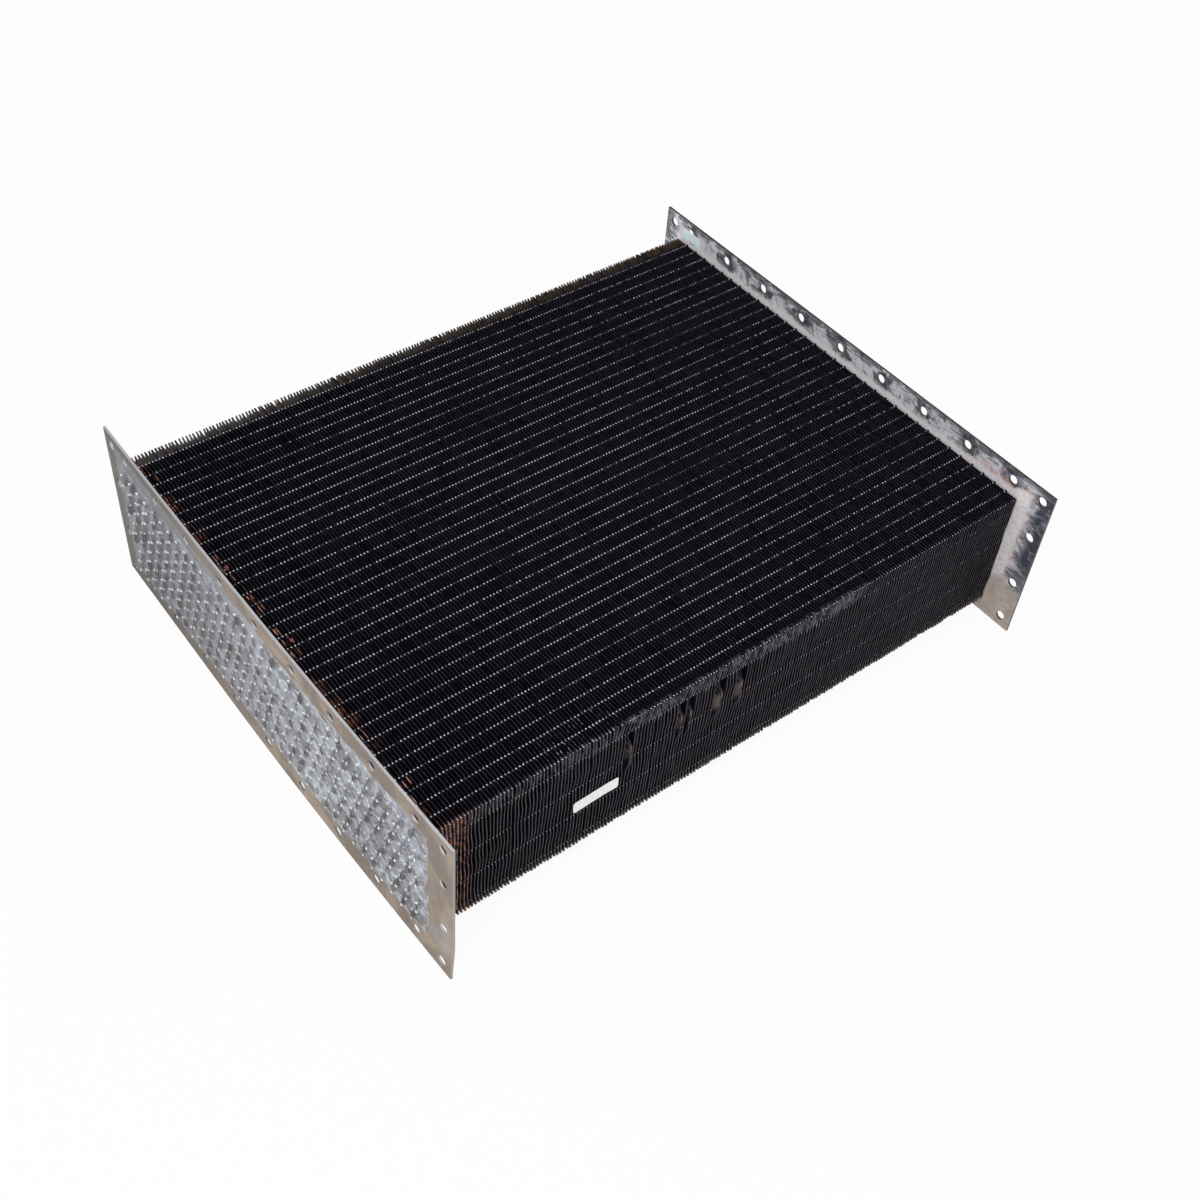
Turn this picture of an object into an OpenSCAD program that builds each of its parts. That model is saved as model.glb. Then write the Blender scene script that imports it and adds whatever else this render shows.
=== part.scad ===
// Core of an engine radiator: flat tubes soldered through a stack of thin fins and two bolted header plates
// X runs along the tubes, Y along the long edges of the header plates, Z up
// The origin lies under the middle of the core, on the surface that the header plates stand on

/* [Header plates] */
// Length of each header plate
plate_len = 724; // [716:1:900]
// Height of each header plate
plate_h = 233; // [226:1:320]
// Thickness of each header plate
plate_t = 3; // [1.5:0.1:6]
// Distance between the outer faces of the two header plates
core_len = 863.6; // [300:0.1:1400]

/* [Bolt holes] */
// Diameter of each bolt hole
bolt_d = 12.7; // [6:0.1:16]
// Distance from each plate edge to the centres of the holes along it
bolt_inset = 16; // [10:0.5:17]
// Distance between neighbouring holes of a long row
bolt_pitch = 76.2; // [30:0.1:78]
// Holes in a long row, without the corner holes
bolt_count = 9; // [2:1:9]
// Distance of the middle of the long rows from the middle of the plate
bolt_shift = 5.8; // [0:0.1:8]
// Distance between the two holes in the middle of a short edge
bolt_short_gap = 80; // [24:1:150]

/* [Tubes] */
// Height of the flat tubes
tube_h = 19; // [10:0.1:23]
// Width of the flat tubes across their flat sides
tube_w = 2.5; // [2:0.1:6]
// Wall of the flat tubes
tube_wall = 0.3; // [0.2:0.05:0.8]
// Tubes in each row
tube_count = 33; // [2:1:33]
// Distance between neighbouring tubes of a row
tube_pitch = 19.05; // [8:0.05:19.1]
// Distance between neighbouring rows of tubes
row_pitch = 23.8; // [23.2:0.1:25]
// Length of tube that stands out of each header plate
tube_end = 8; // [3:0.5:20]
// Distance of the fins' middle from the middle of the plates
field_shift = 9.25; // [0:0.05:9.5]

/* [Fins] */
// Thickness of each fin
fin_t = 0.2; // [0.1:0.05:1]
// Distance between neighbouring fins
fin_pitch = 4.45; // [2.5:0.05:12]
// Height of fin above the top row of tubes
fin_lip = 1; // [0.5:0.1:3]
// Height of fin below the bottom row of tubes
fin_foot = 12; // [0.5:0.5:20]
// Smallest distance between a header plate and the first fin
fin_end_gap = 3; // [1:0.1:20]

/* [Solder] */
// Thickness of the solder coat on the outer faces
solder_t = 0.6; // [0.2:0.1:2]
// Width of the solder coat beyond the first and last tubes of the rows
solder_side = 12; // [4:0.5:13]
// Height of the solder coat beyond the top and bottom rows
solder_over = 5; // [2:0.5:10]

/* [Labels] */
// Length of the blank label on the edges of the fins
side_label_len = 61; // [20:1:120]
// Height of the blank label on the edges of the fins
side_label_h = 18; // [8:1:40]
// Tilt of the blank label on the edges of the fins, in degrees
side_label_tilt = -2.5; // [-8:0.5:8]
// Length of the blank label on the header plate
plate_label_len = 37; // [10:1:60]
// Height of the blank label on the header plate
plate_label_h = 15; // [6:1:25]
// Thickness of both labels
label_t = 0.3; // [0.1:0.1:1]

/* [Fits] */
// Gap between a tube and the edges of its hole in a header plate
plate_fit = 0.1; // [0:0.05:0.4]
// Gap between a tube's rounded edges and the fins
fin_fit = 0.05; // [0:0.05:0.2]
// Gap between a tube and the solder coat round it
solder_fit = 0.05; // [0:0.05:0.2]

/* [Hidden] */
$fn = 32;
tube_rows = 7; // the rows are separate nodes
fin_packs = 20; // so are the packs that the fins are shared out into
side_label_x = -214.5; // middle of the label on the fins, along the tubes
side_label_z = 98;
plate_label_y = 308; // middle of the label on the right header plate
plate_label_drop = 21; // below the plate's top edge

inner_len = core_len - 2 * plate_t;
tube_len = core_len + 2 * tube_end;
mid_z = plate_h / 2;
// The side edges of the fins lie on the line of the next hole beyond the odd rows, so the fins are a whole
// number of pitches wide, and the even rows have room for one more tube
fin_w = (tube_count + 1) * tube_pitch;
fin_h = (tube_rows - 1) * row_pitch + tube_h + fin_lip + fin_foot;
fin_y0 = field_shift - fin_w / 2;
fin_z0 = row_z(tube_rows) - tube_h / 2 - fin_foot;
fin_gaps = floor((inner_len - 2 * fin_end_gap) / fin_pitch);
fin_count = fin_gaps + 1;
fin_x0 = -fin_gaps * fin_pitch / 2;
row_numbers = [for (row = [1 : tube_rows]) row];
pack_numbers = [for (pack = [1 : fin_packs]) pack];

function is_odd(row) = row % 2 == 1;
function row_z(row) = mid_z + (tube_rows + 1 - 2 * row) * row_pitch / 2;
function places(row) = is_odd(row) ? tube_count : tube_count + 1;
function first_tube_y(row) = fin_y0 + (is_odd(row) ? tube_pitch : tube_pitch / 2);
function tube_y(row, i) = first_tube_y(row) + i * tube_pitch;
function fin_x(i) = fin_x0 + i * fin_pitch;
function first_fin(pack) = floor((pack - 1) * fin_count / fin_packs);
function two_digits(n) = str(n < 10 ? "0" : "", n);
function row_node(row) = str("tube_row_", row);
function pack_node(pack) = str("fin_pack_", two_digits(pack));

// Turns an outline drawn in Y and Z into a solid that starts at x and runs along X
module along_x(x, depth) {
    translate([x, 0, 0])
        rotate([90, 0, 90])
            linear_extrude(depth)
                children();
}

module flat_oval(width, height) {
    square([width, height - width], center = true);
    for (side = [-1, 1])
        translate([0, side * (height - width) / 2])
            circle(d = width);
}

// One outline for every tube of every row, larger than the tube by the fit
module tube_holes(fit) {
    for (row = row_numbers, i = [0 : tube_count - 1])
        translate([tube_y(row, i), row_z(row)])
            flat_oval(tube_w + 2 * fit, tube_h + 2 * fit);
}

module bolt_holes() {
    corner_y = plate_len / 2 - bolt_inset;
    corner_z = plate_h / 2 - bolt_inset;
    for (side = [-1, 1], end = [-1, 1])
        translate([end * corner_y, mid_z + side * corner_z])
            circle(d = bolt_d);
    for (side = [-1, 1], i = [0 : bolt_count - 1])
        translate([bolt_shift + (i - (bolt_count - 1) / 2) * bolt_pitch, mid_z + side * corner_z])
            circle(d = bolt_d);
    for (side = [-1, 1], end = [-1, 1])
        translate([end * corner_y, mid_z + side * bolt_short_gap / 2])
            circle(d = bolt_d);
}

// A flat brass plate, punched for the bolts and for the tubes
module header_plate(x) {
    color("#9a948c")
        along_x(x, plate_t)
            difference() {
                translate([-plate_len / 2, 0])
                    square([plate_len, plate_h]);
                bolt_holes();
                tube_holes(plate_fit);
            }
}

// The tin that the plate was dipped in, round the ends of the tubes
module solder_coat(x) {
    field_y = tube_y(2, 0) - solder_side;
    field_len = tube_y(1, tube_count - 1) + solder_side - field_y;
    field_h = (tube_rows - 1) * row_pitch + tube_h + 2 * solder_over;
    color("#b6b8bd")
        along_x(x, solder_t)
            difference() {
                translate([field_y, mid_z - field_h / 2])
                    square([field_len, field_h]);
                tube_holes(solder_fit);
            }
}

// One row of brass tubes, open from end to end
module tube_row(row) {
    color("#a9a6a0")
        along_x(-tube_len / 2, tube_len)
            for (i = [0 : tube_count - 1])
                translate([tube_y(row, i), row_z(row)])
                    difference() {
                        flat_oval(tube_w, tube_h);
                        flat_oval(tube_w - 2 * tube_wall, tube_h - 2 * tube_wall);
                    }
}

// The outline of a fin, with one long slot for each row of tubes
module fin_outline() {
    slot_h = tube_h + 2 * fin_fit;
    difference() {
        translate([fin_y0, fin_z0])
            square([fin_w, fin_h]);
        for (row = row_numbers)
            translate([tube_y(row, 0) - tube_w / 2 - fin_fit, row_z(row) - slot_h / 2])
                square([(places(row) - 1) * tube_pitch + tube_w + 2 * fin_fit, slot_h]);
    }
}

module fin_pack(pack) {
    color("#14161d")
        for (i = [first_fin(pack) : first_fin(pack + 1) - 1])
            along_x(fin_x(i) - fin_t / 2, fin_t)
                fin_outline();
}

// A blank paper label stuck across the side edges of the fins
module side_label() {
    color("white")
        translate([side_label_x, fin_y0 - label_t / 2, side_label_z])
            rotate([0, side_label_tilt, 0])
                cube([side_label_len, label_t, side_label_h], center = true);
}

// A blank film label on the inner face of the right header plate, above the fins
module plate_label() {
    color("#dfe8e0")
        translate([inner_len / 2 - label_t, plate_label_y, plate_h - plate_label_drop])
            translate([0, -plate_label_len / 2, -plate_label_h / 2])
                cube([label_t, plate_label_len, plate_label_h]);
}

header_plate(-core_len / 2);  // left_header_plate
header_plate(inner_len / 2);  // right_header_plate
for (row = row_numbers)
    tube_row(row);
for (pack = pack_numbers)
    fin_pack(pack);
solder_coat(-core_len / 2 - solder_t);  // left_solder_coat
solder_coat(core_len / 2);  // right_solder_coat
side_label();
plate_label();
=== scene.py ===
import math

import bmesh
import bpy
import numpy as np
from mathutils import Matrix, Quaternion, Vector


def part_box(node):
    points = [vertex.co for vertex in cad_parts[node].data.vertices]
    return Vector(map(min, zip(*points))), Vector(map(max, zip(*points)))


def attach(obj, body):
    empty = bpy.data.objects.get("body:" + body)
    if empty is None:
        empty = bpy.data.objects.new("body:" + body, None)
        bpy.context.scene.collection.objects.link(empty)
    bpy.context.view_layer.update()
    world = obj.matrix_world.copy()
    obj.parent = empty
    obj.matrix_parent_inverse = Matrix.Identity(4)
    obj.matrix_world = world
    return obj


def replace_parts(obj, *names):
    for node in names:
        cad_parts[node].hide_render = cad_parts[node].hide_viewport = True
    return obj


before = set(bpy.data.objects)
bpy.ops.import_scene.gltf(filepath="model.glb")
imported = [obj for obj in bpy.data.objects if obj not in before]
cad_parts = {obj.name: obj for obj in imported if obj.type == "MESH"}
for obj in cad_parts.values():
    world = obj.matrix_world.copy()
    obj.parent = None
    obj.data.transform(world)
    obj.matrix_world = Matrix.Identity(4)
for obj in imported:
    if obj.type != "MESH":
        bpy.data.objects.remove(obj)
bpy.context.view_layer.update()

mm = 0.001


def runsOf(values, gap):
    # Values that lie close together, as separate runs
    values = np.unique(np.round(values, 6))
    return np.split(values, np.where(np.diff(values) > gap)[0] + 1)


def nodeValues(node, axis):
    return np.array([v.co[axis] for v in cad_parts[node].data.vertices])


def nodesNamed(start):
    return sorted(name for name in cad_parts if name.startswith(start))


def middlesOf(runs):
    return [(run[0] + run[-1]) / 2 for run in runs]


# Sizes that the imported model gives
tubeGap, finGap, holeGap = 4 * mm, 1 * mm, 8 * mm  # gaps that tell one tube, fin or bolt hole from the next
margin = 2 * mm  # keeps clear of the tubes' field and of the plate's own edges
rowNames, packNames = nodesNamed("tube_row_"), nodesNamed("fin_pack_")
plateLow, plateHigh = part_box("right_header_plate")
outerX, innerX = plateHigh.x, plateLow.x
coatLow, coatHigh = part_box("right_solder_coat")
finLow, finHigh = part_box(packNames[0])
rowBoxes = [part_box(name) for name in rowNames]
rowRuns = [runsOf(nodeValues(name, 1), tubeGap) for name in rowNames]
tubeYs = [middlesOf(runs) for runs in rowRuns]
rowZs = [(low.z + high.z) / 2 for low, high in rowBoxes]
tubeTall = rowBoxes[0][1].z - rowBoxes[0][0].z
tubeWide = rowRuns[0][0][-1] - rowRuns[0][0][0]
tubeTip = rowBoxes[0][1].x
packRuns = [runsOf(nodeValues(name, 0), finGap) for name in packNames]
packXs = [middlesOf(runs) for runs in packRuns]
finThick = np.ptp(packRuns[0][0])
plateYs, plateZs = nodeValues("right_header_plate", 1), nodeValues("right_header_plate", 2)
highEdge = (plateZs > coatHigh.z + margin) & (plateZs < plateHigh.z - margin)
boltYs = middlesOf(runsOf(plateYs[highEdge], holeGap))[1:-1]  # without the corner holes
boltZ = (plateZs[highEdge].min() + plateZs[highEdge].max()) / 2
boltWide = np.ptp(plateZs[highEdge])
sideEdge = (plateYs > coatHigh.y + margin) & (plateYs < plateHigh.y - margin)
cornerY = (plateYs[sideEdge].min() + plateYs[sideEdge].max()) / 2
cornerZs = middlesOf(runsOf(plateZs[sideEdge], holeGap))
finCount = sum(len(xs) for xs in packXs)
print("frame read:", len(tubeYs[0]), "tubes a row,", finCount, "fins,", len(boltYs), "bolt holes a long row")


def paint(red, green, blue):
    # A screen colour from 0 to 255 as Blender's linear colour
    linear = [((c / 255 + 0.055) / 1.055) ** 2.4 if c > 10 else c / 255 / 12.92 for c in (red, green, blue)]
    return (*linear, 1)


class Wire:
    # A node's output that takes part in sums
    def __init__(self, recipe, socket):
        self.recipe, self.socket = recipe, socket

    def sum(self, operation, first, second):
        return self.recipe.node("Math", {"operation": operation}, {0: first, 1: second})

    def __add__(self, other):
        return self.sum("ADD", self, other)

    def __radd__(self, other):
        return self.sum("ADD", other, self)

    def __sub__(self, other):
        return self.sum("SUBTRACT", self, other)

    def __rsub__(self, other):
        return self.sum("SUBTRACT", other, self)

    def __mul__(self, other):
        return self.sum("MULTIPLY", self, other)

    def __rmul__(self, other):
        return self.sum("MULTIPLY", other, self)


def fillRamp(colourRamp, stops):
    # Stops are places from 0 to 1, each with its grey level
    for place, level in stops:
        colourRamp.elements.new(place).color = (level, level, level, 1)
    colourRamp.elements.remove(colourRamp.elements[0])  # the two that a new ramp has
    colourRamp.elements.remove(colourRamp.elements[-1])


class Recipe:
    # The nodes of one material, or of the world
    def __init__(self, owner, coordinates="Object"):
        owner.use_nodes = True
        self.owner, self.tree = owner, owner.node_tree
        self.tree.nodes.clear()
        self.place = self.node("TexCoord", output=coordinates)
        self.x, self.y, self.z = (self.node("SeparateXYZ", {}, {0: self.place}, axis) for axis in range(3))

    def node(self, kind, settings=None, inputs=None, output=0):
        made = self.tree.nodes.new("ShaderNode" + kind)
        for name, value in (settings or {}).items():
            if name == "stops":
                fillRamp(made.color_ramp, value)
            else:
                setattr(made, name, value)
        for name, value in (inputs or {}).items():
            if isinstance(value, Wire):
                self.tree.links.new(value.socket, made.inputs[name])
            else:
                made.inputs[name].default_value = value
        return Wire(self, made.outputs[output]) if made.outputs else None

    def facing(self, axis):
        # How far the surface faces along an axis, from -1 to 1
        return self.node("SeparateXYZ", {}, {0: self.node("NewGeometry", output="Normal")}, axis)

    def noise(self, size, detail=2, rough=0.5, turn=0, distortion=0):
        # size is the size of a patch in mm, one number or three; turn tilts the pattern in the plate's plane
        sizes = size if isinstance(size, tuple) else (size,) * 3
        spot = self.place
        if turn:
            spot = self.node("VectorRotate", {"rotation_type": "X_AXIS"}, {"Vector": spot, "Angle": turn})
        scales = [1 / (side * mm) for side in sizes]
        scaled = self.node("VectorMath", {"operation": "MULTIPLY"}, {0: spot, 1: scales})
        return self.node("TexNoise", {}, {
            "Vector": scaled, "Scale": 1, "Detail": detail, "Roughness": rough, "Distortion": distortion})

    def rise(self, value, low, high):
        # 0 below low, 1 above high and smooth between them
        return self.node("MapRange", {"interpolation_type": "SMOOTHSTEP"}, {
            "Value": value, "From Min": low, "From Max": high}, "Result")

    def absolute(self, value):
        return self.node("Math", {"operation": "ABSOLUTE"}, {0: value})

    def larger(self, first, second):
        return self.node("Math", {"operation": "MAXIMUM"}, {0: first, 1: second})

    def mix(self, mask, first, second):
        return self.node("Mix", {"data_type": "RGBA"}, {0: mask, 6: first, 7: second}, 2)

    def modulo(self, value, step):
        return self.node("Math", {"operation": "MODULO"}, {0: value, 1: step})

    def bump(self, height, distance):
        # distance is in mm
        return self.node("Bump", {}, {"Height": height, "Distance": distance * mm, "Strength": 1}, "Normal")

    def finish(self, **sockets):
        names = {"colour": "Base Color", "rough": "Roughness", "metal": "Metallic", "normal": "Normal",
                 "shine": "Specular IOR Level"}
        surface = self.node("BsdfPrincipled", {}, {names[key]: value for key, value in sockets.items()})
        self.node("OutputMaterial", {}, {"Surface": surface})
        return self.owner


def newRecipe(name):
    return Recipe(bpy.data.materials.new(name))


# Where the outer faces were dipped in tin: the tubes' field, and more at the far end
dipLook = {
    "farSide": 12 * mm, "farTop": 17 * mm, "farFoot": 6 * mm,  # how much further it reaches there
    "ragged": 18 * mm, "fineRagged": 4 * mm,  # how uneven its edge is
    "smear": 0.33, "smearZ": 50 * mm, "smearWave": 30 * mm,  # a faint low smear at the near end
}


def tinned(r):
    middleY = (coatLow.y + coatHigh.y) / 2
    beyondY = r.absolute(r.y - middleY) - (coatHigh.y - coatLow.y) / 2
    beyondY = beyondY - r.rise(r.y, 0.1, 0.3) * dipLook["farSide"]
    lift = r.rise(r.y, -0.1, 0.28) * dipLook["farTop"]
    drop = r.rise(r.y, 0, 0.25) * dipLook["farFoot"]
    beyondZ = r.larger(r.z - coatHigh.z - lift, coatLow.z - drop - r.z)
    ragged = (r.noise((26, 60, 26), 3) - 0.5) * dipLook["ragged"]
    ragged = ragged + (r.noise(7, 2) - 0.5) * dipLook["fineRagged"]
    field = 1 - r.rise(r.larger(beyondY, beyondZ) + ragged, 0.5 * mm, 3 * mm)
    low = r.absolute(r.z - dipLook["smearZ"] + (r.noise(30, 2) - 0.5) * dipLook["smearWave"])
    smear = dipLook["smear"] * (1 - r.rise(low, 4 * mm, 20 * mm)) * r.rise(0 - r.y, 0.3, 0.32)
    return r.larger(field, smear)


def plateMetal():
    look = {
        "sheet": paint(182, 166, 149), "sheetDark": paint(136, 120, 106), "sheetBright": paint(200, 190, 178),
        "sheetFar": paint(106, 96, 88), "tin": paint(184, 186, 193), "tinBright": paint(236, 237, 244),
        "tinDark": paint(146, 146, 156), "tinFar": paint(128, 128, 133),
        "stain": paint(50, 54, 66), "copper": paint(236, 158, 144), "flux": paint(255, 252, 252),
        # cutShade is painted shade for the right plate's cut edges and hole walls
        "cut": paint(214, 216, 223), "cutSide": paint(172, 171, 173), "cutShade": paint(62, 52, 44),
        "wideLine": 9 * mm,  # how much wider the white line beside the fins is down the near side
        "ringFrom": 8 * mm, "ringTo": 15 * mm,  # radii of the stains round the bolt holes
    }
    boltPitch = boltYs[1] - boltYs[0]
    r = newRecipe("plateMetal")
    fine = r.noise((30, 1.2, 30), 3)  # rolling marks
    cloud = r.noise(46, 4, 0.6, distortion=0.6)
    sheet = r.mix(r.rise(cloud, 0.35, 0.68), look["sheetDark"], look["sheet"])
    sheet = r.mix(r.rise(fine, 0.5, 0.8) * 0.35, sheet, look["sheetBright"])
    wash = r.rise(r.y + (cloud - 0.5) * 0.4, -0.02, 0.3)  # the far end is greyer
    sheet = r.mix(wash * 0.9, sheet, look["sheetFar"])
    drips = r.noise((20, 22, 9), 3, turn=0.6)
    tin = r.mix(r.rise(drips, 0.45, 0.75) * 0.6, look["tin"], look["tinBright"])
    tin = r.mix(r.rise(r.y, -0.1, 0.2) * 0.85, tin, look["tinFar"])
    outer = r.mix(tinned(r), sheet, tin)
    # The inner face is tinned all over, with flux and copper beside the fins
    mottle = r.noise((26, 15, 22), 4, 0.62, turn=0.5, distortion=1.1)
    speckle = r.noise(5, 3, 0.6)
    inner = r.mix(r.rise(mottle, 0.34, 0.54), look["tinDark"], look["tinBright"])
    inner = r.mix(r.rise(mottle + (speckle - 0.5) * 0.5, 0.52, 0.66), inner, look["tinBright"])
    runs = r.noise((9, 34, 8), 4, 0.7, distortion=1.2)  # dark runs along the plate, most at its outer edges
    rim = r.rise(r.z, plateHigh.z - 16 * mm, plateHigh.z)
    rim = r.larger(rim, r.rise(r.absolute(r.y), 0.325, 0.36))
    inner = r.mix(r.rise(runs + rim * 0.16, 0.53, 0.66) * 0.75, inner, look["stain"])
    besideZ = r.z - finHigh.z
    besideY = finLow.y - r.y
    away = r.larger(r.larger(besideZ, besideY), finLow.z - r.z)
    away = r.larger(away, r.y - finHigh.y)
    patch = r.noise(30, 3, distortion=0.8)
    corner = r.rise(0 - r.y, 0.16, 0.31)
    blush = 1 - r.rise(away + (patch - 0.5) * 0.06 - corner * 0.009, 2 * mm, 16 * mm)
    fleck = r.noise(9, 3, 0.6)
    blush = blush * r.rise(patch + corner * 0.1 + (fleck - 0.5) * 0.5, 0.45, 0.63)
    inner = r.mix(blush * 0.75, inner, look["copper"])
    base = r.modulo(r.y - (boltYs[0] - 1.5 * boltPitch), boltPitch)
    acrossY, acrossZ = base - boltPitch / 2 + 2 * mm, r.z - boltZ
    ring = acrossY * acrossY * 0.6 + acrossZ * acrossZ + (fleck - 0.5) * 5e-4 + (patch - 0.5) * 9e-4
    ring = (1 - r.rise(ring, look["ringFrom"] ** 2, look["ringTo"] ** 2)) * r.rise(mottle, 0.34, 0.54)
    inner = r.mix(ring * 0.9, inner, look["stain"])
    band = r.rise(0 - r.y, 0.3, 0.32) * r.rise(r.z, 0.05, 0.08) * look["wideLine"]
    nearEdge = r.rise(0 - r.y, 0.33, 0.352) * r.rise(r.z, 0.06, 0.12)
    inner = r.mix(nearEdge * r.rise(r.noise((20, 14, 26), 3), 0.32, 0.52) * 0.8, inner, look["stain"])
    line = 1 - r.rise(away + (speckle - 0.5) * 0.012 + (cloud - 0.5) * 0.018 - band, 4 * mm, 11 * mm)
    inner = r.mix(line * (0.7 + 0.3 * r.rise(speckle, 0.42, 0.55)), inner, look["flux"])
    thin = 1 - r.rise(away, 1.2 * mm, 2.4 * mm)
    inner = r.mix(thin, inner, look["flux"])
    lowBare = r.rise(finLow.z + 0.055 - r.z + (cloud - 0.5) * 0.06, 0, 0.02) * r.rise(0 - r.y, 0.3, 0.32)
    bareSheet = r.mix(r.rise(cloud, 0.3, 0.7), look["sheet"], look["sheetBright"])
    inner = r.mix(lowBare * 0.8, inner, bareSheet)
    isInner = r.rise(0 - r.facing(0) * r.x, 0.1, 0.2)
    colour = r.mix(isInner, outer, inner)
    edge = r.rise(r.larger(r.absolute(r.facing(1)), r.absolute(r.facing(2))), 0.4, 0.6)
    cut = r.mix(r.rise(r.absolute(r.facing(1)), 0.7, 0.9), look["cut"], look["cutSide"])
    # Painted shade: the right plate's cut edges and hole walls are painted dark brown, where the left plate's
    # stay light
    colour = r.mix(edge * 0.85, colour, r.mix(r.rise(r.x, -0.1, 0.1), cut, look["cutShade"]))
    rough = 0.42 + (cloud - 0.5) * 0.35 + (fine - 0.5) * 0.1 - edge * 0.08
    height = cloud * 0.6 + fine * 0.12 + mottle * 0.5 * isInner + speckle * 0.12
    return r.finish(colour=colour, rough=rough, metal=0.68 - isInner * 0.5, normal=r.bump(height, 0.9))


def tinMetal(name, hasTips):
    look = {
        # dullAndShade is dull tin, and also painted shade at the tubes' tips
        "tin": paint(180, 183, 191), "bright": paint(226, 231, 242), "dullAndShade": paint(126, 124, 126),
        "far": paint(128, 128, 134),
        # beadAndGlint is a painted highlight for the tubes' noses
        "beadAndGlint": paint(252, 253, 255), "taupe": paint(140, 128, 118), "bare": paint(154, 138, 122),
    }
    r = newRecipe(name)
    cloud = r.noise((30, 30, 18), 4, 0.65, turn=-0.5, distortion=1)
    flow = r.noise((7, 8, 6), 3, 0.6, turn=-0.5)
    grain = r.noise(1.6, 2)
    colour = r.mix(r.rise(cloud, 0.4, 0.58), look["dullAndShade"], look["tin"])
    colour = r.mix(r.rise(flow + (cloud - 0.5) * 0.5, 0.5, 0.74), colour, look["bright"])
    taupe = r.rise(r.noise(60, 3), 0.46, 0.62) * r.rise(r.y, -0.06, 0.2)
    colour = r.mix(taupe * 0.45, colour, look["taupe"])
    colour = r.mix(r.rise(r.y + (cloud - 0.5) * 0.4, -0.12, 0.24) * 0.5, colour, look["far"])
    colour = r.mix(tinned(r), look["bare"], colour)
    if hasTips:
        pitch = rowZs[0] - rowZs[1]
        base = r.modulo(r.z - (rowZs[-1] - 1.5 * pitch), pitch)
        noses = r.rise(r.absolute(base - pitch / 2), tubeTall / 2 - 3.4 * mm, tubeTall / 2 - 2 * mm)
        proud = r.rise(r.absolute(r.x), tubeTip - 2.6 * mm, tubeTip - 1.6 * mm)
        # Painted highlight: the noses near the tips are painted near white in patches, as the lamp's glint on
        # the solder beads
        colour = r.mix(noses * proud * r.rise(r.noise(9, 1), 0.3, 0.56), colour, look["beadAndGlint"])
        # Painted shade: the tips away from the noses are darkened towards dull tin
        tipShade = r.rise(r.absolute(r.x), tubeTip - 2 * mm, tubeTip - 1 * mm)
        colour = r.mix(tipShade * (1 - noses) * 0.45, colour, look["dullAndShade"])
    rough = 0.44 + (cloud - 0.5) * 0.3 + (flow - 0.5) * 0.2
    height = flow * 0.5 + grain * 0.12 + cloud * 0.5
    return r.finish(colour=colour, rough=rough, metal=0.22, normal=r.bump(height, 0.5))


def tubePaint():
    look = {"paint": (0.004, 0.0035, 0.006, 1), "dust": (0.012, 0.011, 0.014, 1)}
    r = newRecipe("tubePaint")
    cloud = r.noise((40, 6, 6), 3)
    colour = r.mix(r.rise(cloud, 0.5, 0.8), look["paint"], look["dust"])
    return r.finish(colour=colour, rough=0.5 + cloud * 0.2, metal=0, shine=0.08,
                    normal=r.bump(r.noise(3, 2), 0.2))


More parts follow.
